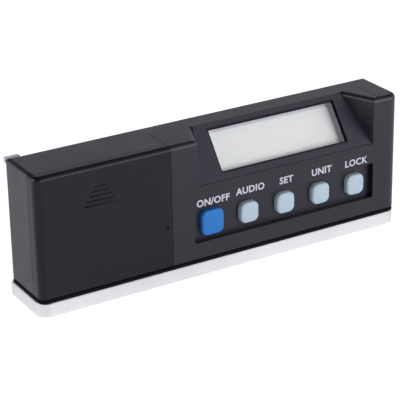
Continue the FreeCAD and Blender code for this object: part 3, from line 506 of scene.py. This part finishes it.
# Neoprene sheet: the darkest surface, hardly any gloss; its near-black is partly painted shade for the
# shaded gap between body and base
RUBBER_AND_SHADE = Finish("black_neoprene_and_painted_shade", "#050507", 0.9, ior=1.3, grain_mm=0.3, depth_mm=0.02)
# Zinc-plated steel: grey metal with a slightly cloudy gloss
ZINC = Finish(
    "zinc_plated_steel", "#B4B6BA", 0.34, metallic=1.0, grain_mm=0.2, depth_mm=0.002, patch_mm=2.0,
)
# Nickel plating over a magnet: brighter and warmer than zinc
NICKEL = Finish(
    "nickel_plating", "#D8D4CC", 0.18, metallic=1.0, grain_mm=0.4, depth_mm=0.001, patch_mm=4.0,
)
# Powder-painted steel plate: pale grey with a faint orange peel
BRACKET_PAINT = Finish("pale_powder_paint", "#D6D6DA", 0.45, grain_mm=0.7, depth_mm=0.01)
# Silicone rubber keys: satin, and light sinks in a little
PALE_KEY = Finish(
    "pale_blue_silicone", "#C6D9E3", 0.5, ior=1.43, grain_mm=0.35, depth_mm=0.004, mottle=0.02,
    subsurface=0.08,
)
BLUE_KEY = Finish(
    "blue_silicone", "#2880CE", 0.5, ior=1.43, grain_mm=0.35, depth_mm=0.004, mottle=0.03,
    subsurface=0.05,
)
# Screen-printed ink: flat off-white
INK = Finish(
    "white_screen_ink", "#DCDCE4", 0.6, grain_mm=0.3, depth_mm=0.002, mottle=0.03, patch_mm=3.0,
)
# Polished acrylic sheet: clear, with sharp reflections
PANE = ClearPane("clear_acrylic", "#FFFFFF", 0.02, ior=1.49, grain_mm=6.0, depth_mm=0.0005)
# Polystyrene frame: pale and matt, so that the display's edge is light
PALE_FRAME = Finish(
    "pale_moulded_styrene", "#C8C8CE", 0.55, ior=1.59, grain_mm=0.4, depth_mm=0.006, mottle=0.03,
)
# Display glass over its reflector: pale grey and smooth
DISPLAY_GLASS = Finish(
    "display_cell_glass", "#D6D6DC", 0.25, ior=1.52, grain_mm=3.0, depth_mm=0.0005, mottle=0.02,
)
# Polariser film over the reflector: even grey-green white
POLARISER = Finish(
    "polariser_film", "#EFF1EB", 0.32, grain_mm=5.0, depth_mm=0.0005, mottle=0.01, patch_mm=30.0,
)
# Matt ink printed round the window: near black
BORDER_INK = Finish("black_border_ink", "#08080C", 0.6, ior=1.4, grain_mm=0.4, depth_mm=0.002)
# Layered silicone rubber strips: dull beige with fine ridges
ELASTOMER = Finish(
    "striped_elastomer", "#C8BEB0", 0.7, relief=Relief.LINES, grain_mm=0.3, depth_mm=0.005,
)
# Solder mask over copper: glossy green, and the tracks below stand up a little
SOLDER_MASK = Finish(
    "green_solder_mask", "#1E6A3C", 0.32, relief=Relief.BOARD, grain_mm=1.6, depth_mm=0.03,
    mottle=0.15,
)
# Moulding compound of chips and other small parts: dull, slightly grey black
BLACK_MOULDING = Finish("black_moulded_epoxy", "#1B1B1D", 0.55, grain_mm=0.25, depth_mm=0.008)
# Tinned brass: warm pale metal, a little cloudy
TINNED = Finish(
    "tinned_brass", "#CFC9BB", 0.3, metallic=1.0, grain_mm=0.3, depth_mm=0.002, patch_mm=3.0,
)
# Drawn steel can: bright, with fine lines from the die
STEEL_CAN = Finish(
    "drawn_steel_can", "#C4C5C8", 0.28, metallic=1.0, relief=Relief.LINES, grain_mm=0.3,
    depth_mm=0.002,
)
# Shrunk vinyl sleeve: smooth and dark, with a clear gloss
SLEEVE = Finish("dark_blue_sleeve", "#1C2440", 0.3, grain_mm=0.5, depth_mm=0.002)
# Painted steel can without its print: dark grey with a low metallic shine
BATTERY_CAN = Finish(
    "painted_battery_can", "#3A3D44", 0.35, metallic=0.3, grain_mm=0.6, depth_mm=0.002,
)
# Open-cell foam: dull, with small dark cells
FOAM = Finish(
    "grey_foam", "#55565A", 0.9, relief=Relief.CELLS, grain_mm=0.5, depth_mm=0.08, mottle=0.2,
    patch_mm=1.5,
)


# Sub-assemblies


class Facing(Enum):
    """The side that a screw's head shows on."""

    BEHIND = Vector((0, 1, 0))
    BELOW = Vector((0, 0, -1))


@dataclass
class CrossScrews:
    """Countersunk screws with a cross recess and rolled ridges on the shank."""

    node: str
    facing: Facing
    finish: Material
    slot_name: str = "screw_steel"
    sides: int = 32
    shank_share: float = 0.53
    cross_reach: float = 0.56
    cross_width: float = 0.17
    cross_depth: float = 0.42
    cross_taper: float = 0.72
    ridge_pitch: float = 0.7
    ridge_depth: float = 0.14
    tip_length: float = 0.5
    tip_share: float = 0.55

    def build(self, frame: dict[str, Any]) -> Object:
        """Makes all screws of one solid as one piece in its place.


        Returns:
            The piece.
        """
        bm = bmesh.new()
        for low, high in island_boxes(frame["nodes"][self.node]):
            merge_into(bm, self.one_screw(low, high))
        piece = finished_object(self.node + "_crossed", bm, self.finish)
        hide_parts(self.node)
        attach(piece, "housing")
        LOG.info("%s stands for %s", piece.name, self.node)
        return piece

    def one_screw(self, low: Vector, high: Vector) -> BMesh:
        """Makes one screw inside its solid's box.

        Args:
            low: Lowest corner of the solid.
            high: Highest corner.

        Returns:
            The screw in millimetres, in place.
        """
        out = self.facing.value
        size = high - low
        length = abs(size.dot(out))
        radius = size.x / 2
        bm = self.upright_screw(radius, radius * self.shank_share, length)
        turn = turn_between((0, 0, 1), out)
        middle = (low + high) / 2
        top = middle + out * (length / 2)
        bmesh.ops.transform(bm, matrix=Matrix.Translation(top) @ turn, verts=bm.verts)
        return bm

    def upright_screw(self, head: float, shank: float, length: float) -> BMesh:
        """Makes a screw below the origin with its head facing +Z.

        Args:
            head: Radius of the head.
            shank: Radius of the shank.
            length: Whole length.

        Returns:
            The closed screw.
        """
        bm = bmesh.new()
        bmesh.ops.create_circle(bm, cap_ends=False, segments=self.sides, radius=head)
        rim = list(bm.edges)
        cross = self.cross_outline(bm, head)
        bmesh.ops.triangle_fill(bm, use_beauty=True, use_dissolve=False, edges=rim + cross)
        self.sink(bm, cross, head * self.cross_depth)
        head_height = head - shank
        edges = self.next_ring(bm, rim, head_height, shank / head)
        thread = length - head_height - self.tip_length
        count = max(int(thread / self.ridge_pitch), 1)
        step = thread / count / 2
        for _ in range(count):
            edges = self.next_ring(bm, edges, step, 1 - self.ridge_depth)
            edges = self.next_ring(bm, edges, step, 1 / (1 - self.ridge_depth))
        edges = self.next_ring(bm, edges, self.tip_length, self.tip_share)
        bmesh.ops.contextual_create(bm, geom=edges)
        return bm

    def cross_outline(self, bm: BMesh, head: float) -> list[BMEdge]:
        """Draws the cross on the head.

        Args:
            bm: The screw.
            head: Radius of the head.

        Returns:
            The cross's edges in order.
        """
        far = head * self.cross_reach
        near = head * self.cross_width
        corner = [(far, -near), (far, near), (near, near)]
        verts = []
        for quarter in range(4):
            turn = Matrix.Rotation(quarter * math.pi / 2, 3, "Z")
            for x, y in corner:
                verts.append(bm.verts.new(turn @ Vector((x, y, 0))))
        return [bm.edges.new((verts[i], verts[(i + 1) % len(verts)])) for i in range(len(verts))]

    def sink(self, bm: BMesh, edges: list[BMEdge], depth: float) -> None:
        """Presses the cross into the head with tapering walls.

        Args:
            bm: The screw.
            edges: The cross's outline.
            depth: How deep its floor lies.
        """
        made = bmesh.ops.extrude_edge_only(bm, edges=edges)["geom"]
        floor = [item for item in made if isinstance(item, BMVert)]
        floor_edges = [item for item in made if isinstance(item, BMEdge)]
        bmesh.ops.translate(bm, vec=Vector((0, 0, -depth)), verts=floor)
        bmesh.ops.scale(bm, vec=Vector((self.cross_taper, self.cross_taper, 1)), verts=floor)
        rim = [edge for edge in floor_edges if all(vert in floor for vert in edge.verts)]
        bmesh.ops.triangle_fill(bm, use_beauty=True, use_dissolve=False, edges=rim)

    def next_ring(self, bm: BMesh, edges: list[BMEdge], down: float, share: float) -> list[BMEdge]:
        """Extrudes the lowest ring further down.

        Args:
            bm: The screw.
            edges: The ring's edges.
            down: How far down the new ring lies.
            share: Its radius as a share of the last one.

        Returns:
            The new ring's edges.
        """
        made = bmesh.ops.extrude_edge_only(bm, edges=edges)["geom"]
        verts = [item for item in made if isinstance(item, BMVert)]
        bmesh.ops.scale(bm, vec=Vector((share, share, 1)), verts=verts)
        bmesh.ops.translate(bm, vec=Vector((0, 0, -down)), verts=verts)
        ring = set(verts)
        return [item for item in made if isinstance(item, BMEdge) and set(item.verts) <= ring]


@dataclass
class Keypad:
    """Five keys in their pocket and a word over each."""

    keys: Sequence[tuple[str, str]] = (
        ("power_button", "ON/OFF"),
        ("audio_button", "AUDIO"),
        ("set_button", "SET"),
        ("unit_button", "UNIT"),
        ("lock_button", "LOCK"),
    )
    corner_radius: float = 2.7
    corner_steps: int = 8
    edge_radius: float = 0.9
    edge_steps: int = 5
    flange: float = 1.0
    flange_thickness: float = 0.9
    stem_radius: float = 2.0
    stem_length: float = 0.5
    stem_sides: int = 24
    crown_steps: Sequence[tuple[float, float]] = ((0.4, 0.05), (0.4, 0.035), (0.4, 0.02))
    cap_height: float = 3.1
    word_rise: float = 10.6
    power_word_drop: float = 0.9
    letter_space: float = 1.06
    weight: float = 0.028
    curve_steps: int = 3
    ink_thickness: float = 0.04
    ink_sunk: float = 0.01

    def build(self, frame: dict[str, Any], pale: Material, blue: Material) -> None:
        """Makes the keys.

        Args:
            pale: Finish of four keys.
            blue: Finish of the power key.
        """
        for index, (node, _) in enumerate(self.keys):
            finish = blue if index == 0 else pale
            piece = self.key(node, finish)
            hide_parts(node)
            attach(piece, node)
            LOG.info("%s stands for %s", piece.name, node)

    def key(self, node: str, finish: Material) -> Object:
        """Makes one key with a softly crowned face, a flange and a stem.

        Args:
            node: The solid that it stands for.
            finish: Its material.

        Returns:
            The key in its place.
        """
        low, high = (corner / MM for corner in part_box(node))
        middle = (low + high) / 2
        width = high.x - low.x - 2 * self.flange
        height = high.z - low.z - 2 * self.flange
        flange_back = high.y - self.stem_length
        crown = sum(rise for _, rise in self.crown_steps)
        depth = flange_back - low.y - crown
        bm = rounded_block(width, height, depth, self.corner_radius, self.corner_steps)
        front = min(bm.faces, key=lambda face: face.calc_center_median().y)
        bmesh.ops.bevel(
            bm, geom=list(front.edges), offset=self.edge_radius, segments=self.edge_steps, profile=0.5,
            affect="EDGES", material=-1,
        )
        front = min(
            bm.faces, key=lambda face: (round(face.calc_center_median().y, 4), -face.calc_area())
        )
        for inset, rise in self.crown_steps:
            bmesh.ops.inset_individual(
                bm, faces=[front], thickness=inset, depth=rise, use_even_offset=True
            )
        place = Vector((middle.x, flange_back - depth / 2, middle.z))
        bmesh.ops.translate(bm, vec=place, verts=bm.verts)
        flange = rounded_block(
            high.x - low.x, high.z - low.z, self.flange_thickness, self.corner_radius + self.flange,
            self.corner_steps,
        )
        place = Vector((middle.x, flange_back - self.flange_thickness / 2, middle.z))
        bmesh.ops.translate(flange, vec=place, verts=flange.verts)
        merge_into(bm, flange)
        merge_into(bm, self.stem(Vector((middle.x, flange_back, middle.z))))
        return finished_object(node + "_cap", bm, finish)

    def stem(self, start: Vector) -> BMesh:
        """Makes the short round stem behind a key.

        Args:
            start: Middle of the flange's back.

        Returns:
            The stem in place.
        """
        bm = bmesh.new()
        bmesh.ops.create_cone(
            bm, cap_ends=True, segments=self.stem_sides, radius1=self.stem_radius,
            radius2=self.stem_radius, depth=self.stem_length,
        )
        turn = Matrix.Rotation(math.pi / 2, 4, "X")
        place = Matrix.Translation(start + Vector((0, self.stem_length / 2, 0)))
        bmesh.ops.transform(bm, matrix=place @ turn, verts=bm.verts)
        return bm

    def print_words(self, finish: Material) -> None:
        """Prints a word over each key.

        Args:
            finish: The ink.
        """
        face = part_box("main_housing")[0].y / MM
        for index, (node, word) in enumerate(self.keys):
            low, high = (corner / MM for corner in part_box(node))
            middle = (low + high) / 2
            drop = self.power_word_drop if index == 0 else 0.0
            place = Vector((middle.x, face, middle.z + self.word_rise - drop))
            piece = self.word(node, word, place, finish)
            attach(piece, "housing")
            LOG.info("%s carries %s", piece.name, word)

    def word(self, node: str, text: str, place: Vector, finish: Material) -> Object:
        """Makes one word as a thin layer of ink.

        Args:
            node: The key below it, for its name.
            text: The word.
            place: Middle of the word on the front face.
            finish: The ink.

        Returns:
            The word in its place.
        """
        curve = bpy.data.curves.new(node + "_word_curve", "FONT")
        curve.body = text
        curve.size = 1.0
        curve.space_character = self.letter_space
        curve.offset = self.weight
        curve.resolution_u = self.curve_steps
        # Half of one unit to each side, so that the scale below gives the ink its thickness
        curve.extrude = 0.5
        writer = bpy.data.objects.new("writer", curve)
        bpy.context.scene.collection.objects.link(writer)
        bpy.context.view_layer.update()
        shown = writer.evaluated_get(bpy.context.evaluated_depsgraph_get())
        mesh = bpy.data.meshes.new_from_object(shown)
        bpy.data.objects.remove(writer)
        bpy.data.curves.remove(curve)
        bm = bmesh.new()
        bm.from_mesh(mesh)
        bpy.data.meshes.remove(mesh)
        bmesh.ops.remove_doubles(bm, verts=bm.verts, dist=LETTER_MERGE)
        low, high = extent(bm.verts)
        tall = self.cap_height / (high.y - low.y)
        bmesh.ops.translate(bm, vec=-(low + high) / 2, verts=bm.verts)
        bmesh.ops.scale(bm, vec=Vector((tall, tall, self.ink_thickness)), verts=bm.verts)
        turn = Matrix.Rotation(math.pi / 2, 4, "X")
        layer = Vector((0, self.ink_sunk - self.ink_thickness / 2, 0))
        bmesh.ops.transform(bm, matrix=Matrix.Translation(place + layer) @ turn, verts=bm.verts)
        return finished_object(node + "_word", bm, finish)


@dataclass
class Display:
    """The window, the display glass and its polariser film."""

    film_thickness: float = 0.2
    film_side_margin: float = 3.7
    film_end_margin: float = 0.8
    film_drop: float = 0.5
    film_corner: float = 0.3
    film_steps: int = 3
    border_width: float = 0.9
    border_corner: float = 0.95
    border_steps: int = 4
    border_thickness: float = 0.04
    border_lift: float = 0.01
    lens_hidden: float = 1.02
    least_tilt: float = 0.1

    def slope_normal(self, frame: dict[str, Any]) -> Vector:
        """Finds the slope's outward direction from the window's largest faces.


        Returns:
            A unit vector out of the slope.
        """
        total = Vector((0, 0, 0))
        for polygon in frame["nodes"]["display_window"].data.polygons:
            normal = polygon.normal
            if normal.y < -self.least_tilt and normal.z > self.least_tilt:
                total += normal * polygon.area
        return total.normalized()

    def build(self, frame: dict[str, Any], film: Material, ink: Material) -> None:
        """Adds the film on the display glass and the printed border of the window.

        Args:
            film: The film's finish.
            ink: The border's finish.
        """
        self.lay_film(frame, film)
        self.print_border(frame, ink)

    def print_border(self, frame: dict[str, Any], ink: Material) -> None:
        """Prints a black border on the window, just inside the edge of its opening.

        Args:
            ink: The border's finish.
        """
        normal = self.slope_normal(frame)
        middle, half_x, half_v = outer_patch(frame["nodes"]["display_window"], normal)
        width = 2 * (half_x - self.lens_hidden)
        height = 2 * (half_v - self.lens_hidden)
        thick = self.border_thickness
        bm = rounded_block(width, height, thick, self.border_corner, self.border_steps)
        broad = [face for face in bm.faces if abs(face.normal.y) > ALONG]
        bmesh.ops.inset_individual(bm, faces=broad, thickness=self.border_width, depth=0.0)
        bmesh.ops.bridge_loops(bm, edges=[edge for face in broad for edge in face.edges])
        bmesh.ops.delete(bm, geom=broad, context="FACES_ONLY")
        turn = turn_between((0, -1, 0), normal)
        lift = Matrix.Translation(middle + normal * (thick / 2 + self.border_lift))
        bmesh.ops.transform(bm, matrix=lift @ turn, verts=bm.verts)
        piece = finished_object("window_border", bm, ink)
        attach(piece, "housing")
        LOG.info("%s lies on display_window", piece.name)

    def lay_film(self, frame: dict[str, Any], film: Material) -> None:
        """Lays the polariser film on the display glass.

        Args:
            film: The film's finish.
        """
        normal = self.slope_normal(frame)
        middle, half_x, half_v = outer_patch(frame["nodes"]["lcd_glass"], normal)
        width = 2 * (half_x - self.film_side_margin)
        height = 2 * (half_v - self.film_end_margin)
        bm = rounded_block(width, height, self.film_thickness, self.film_corner, self.film_steps)
        turn = turn_between((0, -1, 0), normal)
        down = Vector((1, 0, 0)).cross(normal)
        place = Matrix.Translation(middle + down * self.film_drop + normal * (self.film_thickness / 2))
        bmesh.ops.transform(bm, matrix=place @ turn, verts=bm.verts)
        piece = finished_object("polariser_film", bm, film)
        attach(piece, "housing")
        LOG.info("%s lies on lcd_glass", piece.name)


@dataclass
class Lamp:
    """A soft box aimed at the middle of the part."""

    name: str
    place_mm: tuple[float, float, float]
    size_mm: tuple[float, float]
    power: float
    colour: str = "#F7F7FF"

    def build(self, aim: Vector) -> None:
        """Adds the lamp.

        Args:
            aim: The point that it faces, in metres.
        """
        data = bpy.data.lights.new(self.name, "AREA")
        data.shape = "RECTANGLE"
        data.size, data.size_y = (side * MM for side in self.size_mm)
        data.energy = self.power
        data.color = linear(self.colour)[:3]
        lamp = bpy.data.objects.new(self.name, data)
        lamp.location = Vector(self.place_mm) * MM
        lamp.rotation_euler = (aim - lamp.location).to_track_quat("-Z", "Y").to_euler()
        bpy.context.scene.collection.objects.link(lamp)


@dataclass
class Studio:
    """Pale floor, soft light and the camera that took the picture."""

    floor_half_mm: float = 4000.0
    floor_colour: str = "#F2F2F3"
    floor_shown: float = 0.78
    floor_mirrored: float = 0.55
    mirrored_colour: str = "#F9F9FF"
    band_degrees: float = 8.0
    fade_degrees: float = 6.0
    band_level: float = 1.25
    ceiling_level: float = 0.15
    sky_colour: str = "#F9F9FF"
    camera_place_mm: tuple[float, float, float] = (-332.74, -555.40, 306.80)
    camera_aim_mm: tuple[float, float, float] = (-48.55, -73.44, 63.81)
    camera_roll_degrees: float = -1.05
    lens_mm: float = 154.7
    sensor_mm: float = 36.0
    clip_mm: tuple[float, float] = (10.0, 20000.0)
    lamps: Sequence[Lamp] = (
        Lamp("front_box", (850.0, -1250.0, 340.0), (1800.0, 900.0), 17.5),
        Lamp("high_box", (760.0, -620.0, 1300.0), (500.0, 500.0), 1.2),
        Lamp("left_box", (-1500.0, 600.0, 500.0), (900.0, 900.0), 12.4),
        Lamp("back_box", (1100.0, 1900.0, 950.0), (1300.0, 1300.0), 2.0),
    )

    def build(self) -> None:
        """Makes the whole studio."""
        self.make_world()
        self.make_floor()
        aim = Vector(self.camera_aim_mm) * MM
        for lamp in self.lamps:
            lamp.build(aim)
        self.make_camera()
        bpy.context.scene.view_settings.view_transform = "Standard"

    def make_world(self) -> None:
        """Makes a white band round the horizon under a dim ceiling."""
        world = bpy.data.worlds.new("pale_surround")
        world.use_nodes = True
        tree = world.node_tree
        tree.nodes.clear()
        place = add_node(tree, "ShaderNodeTexCoord").outputs["Generated"]
        parts = add_node(tree, "ShaderNodeSeparateXYZ", inputs={"Vector": place})
        level = add_node(tree, "ShaderNodeMapRange", {"interpolation_type": "SMOOTHSTEP"}, {
            "Value": parts.outputs["Z"],
            "From Min": math.sin(math.radians(self.band_degrees)),
            "From Max": math.sin(math.radians(self.band_degrees + self.fade_degrees)),
            "To Min": self.band_level, "To Max": self.ceiling_level,
        })
        back = add_node(tree, "ShaderNodeBackground", inputs={
            "Color": linear(self.sky_colour), "Strength": level.outputs["Result"],
        })
        add_node(tree, "ShaderNodeOutputWorld", inputs={"Surface": back.outputs["Background"]})
        bpy.context.scene.world = world

    def make_floor(self) -> None:
        """Makes the floor, a little brighter to the camera so that it reads white."""
        bm = bmesh.new()
        bmesh.ops.create_grid(bm, x_segments=1, y_segments=1, size=self.floor_half_mm)
        material = bpy.data.materials.new("pale_floor")
        material.use_nodes = True
        tree = material.node_tree
        tree.nodes.clear()
        path = add_node(tree, "ShaderNodeLightPath")
        through = add_node(tree, "ShaderNodeMath", {"operation": "MAXIMUM"}, {
            0: path.outputs["Is Glossy Ray"], 1: path.outputs["Is Transmission Ray"],
        })
        mirrored = add_node(tree, "ShaderNodeMath", {"operation": "MULTIPLY"}, {
            0: through.outputs["Value"], 1: self.floor_mirrored,
        })
        lift = add_node(tree, "ShaderNodeMath", {"operation": "MULTIPLY_ADD"}, {
            0: path.outputs["Is Camera Ray"], 1: self.floor_shown, 2: mirrored.outputs["Value"],
        })
        shader = add_node(tree, "ShaderNodeBsdfPrincipled", inputs={
            "Base Color": linear(self.floor_colour), "Roughness": 0.9, "Specular IOR Level": 0.1,
            "Emission Color": linear(self.mirrored_colour), "Emission Strength": lift.outputs["Value"],
        })
        add_node(tree, "ShaderNodeOutputMaterial", inputs={"Surface": shader.outputs["BSDF"]})
        floor = finished_object("floor", bm, material)

    def make_camera(self) -> None:
        """Places the camera with its slight roll."""
        place = Vector(self.camera_place_mm) * MM
        aim = Vector(self.camera_aim_mm) * MM
        ahead = (aim - place).normalized()
        right = ahead.cross(Vector((0, 0, 1))).normalized()
        up = right.cross(ahead)
        roll = math.radians(self.camera_roll_degrees)
        rolled_right = right * math.cos(roll) + up * math.sin(roll)
        rolled_up = up * math.cos(roll) - right * math.sin(roll)
        turn = Matrix((rolled_right, rolled_up, -ahead)).transposed().to_4x4()
        data = bpy.data.cameras.new("photo_camera")
        data.lens = self.lens_mm
        data.sensor_width = self.sensor_mm
        data.clip_start, data.clip_end = (distance * MM for distance in self.clip_mm)
        camera = bpy.data.objects.new("photo_camera", data)
        camera.matrix_world = Matrix.Translation(place) @ turn
        bpy.context.scene.collection.objects.link(camera)
        bpy.context.scene.camera = camera


@dataclass
class Inclinometer:
    """The whole instrument: which solid gets which finish, and the pieces added to them."""

    housing_nodes: Sequence[str] = ("main_housing", "rear_cover")
    keypad: Keypad = field(default_factory=Keypad)
    display: Display = field(default_factory=Display)

    def plain_finishes(self) -> dict[str, Finish]:
        """Pairs each dressed solid with its finish.

        Returns:
            Finishes by solid name.
        """
        return {
            "base_plate": ALUMINIUM, "base_gasket": RUBBER_AND_SHADE, "base_magnets": NICKEL,
            "base_screws": ZINC, "rear_screws": ZINC, "bracket_screw": ZINC,
            "battery_cover": COVER, "rear_bracket": BRACKET_PAINT, "battery": BATTERY_CAN,
            "battery_holder": BLACK_MOULDING,
            "battery_contacts": TINNED, "battery_pad": FOAM, "display_window": PANE,
            "display_frame": PALE_FRAME, "lcd_glass": DISPLAY_GLASS, "elastomer_strips": ELASTOMER,
            "display_board": SOLDER_MASK, "display_screws": ZINC, "main_board": SOLDER_MASK,
            "board_screws": ZINC, "button_switches": BLACK_MOULDING, "processor": BLACK_MOULDING,
            "tilt_sensor": STEEL_CAN, "buzzer": BLACK_MOULDING, "crystal": STEEL_CAN,
            "capacitor": SLEEVE, "power_button": BLUE_KEY, "audio_button": PALE_KEY,
            "set_button": PALE_KEY, "unit_button": PALE_KEY, "lock_button": PALE_KEY,
        }

    def build(self, frame: dict[str, Any]) -> None:
        """Dresses the solids and adds the pieces.
        """
        plain = self.plain_finishes()
        unique = {finish.name: finish for finish in plain.values()}
        made = {name: finish.build() for name, finish in unique.items()}
        for node, finish in plain.items():
            dress([node], frame, made[finish.name])
        normal = self.display.slope_normal(frame)
        dress(self.housing_nodes, frame, replace(HOUSING, slope_normal=normal).build())
        self.display.build(frame, POLARISER.build(), BORDER_INK.build())
        self.keypad.build(frame, made[PALE_KEY.name], made[BLUE_KEY.name])
        self.keypad.print_words(INK.build())
        zinc = made[ZINC.name]
        CrossScrews("base_screws", Facing.BELOW, zinc).build(frame)
        CrossScrews("rear_screws", Facing.BEHIND, zinc).build(frame)
        CrossScrews("bracket_screw", Facing.BEHIND, zinc).build(frame)


def main() -> None:
    """Builds the sub-assemblies in order."""
    logging.basicConfig(level=logging.INFO, format="%(name)s: %(message)s")
    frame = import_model()
    Inclinometer().build(frame)
    Studio().build()


if __name__ == "__main__":
    main()
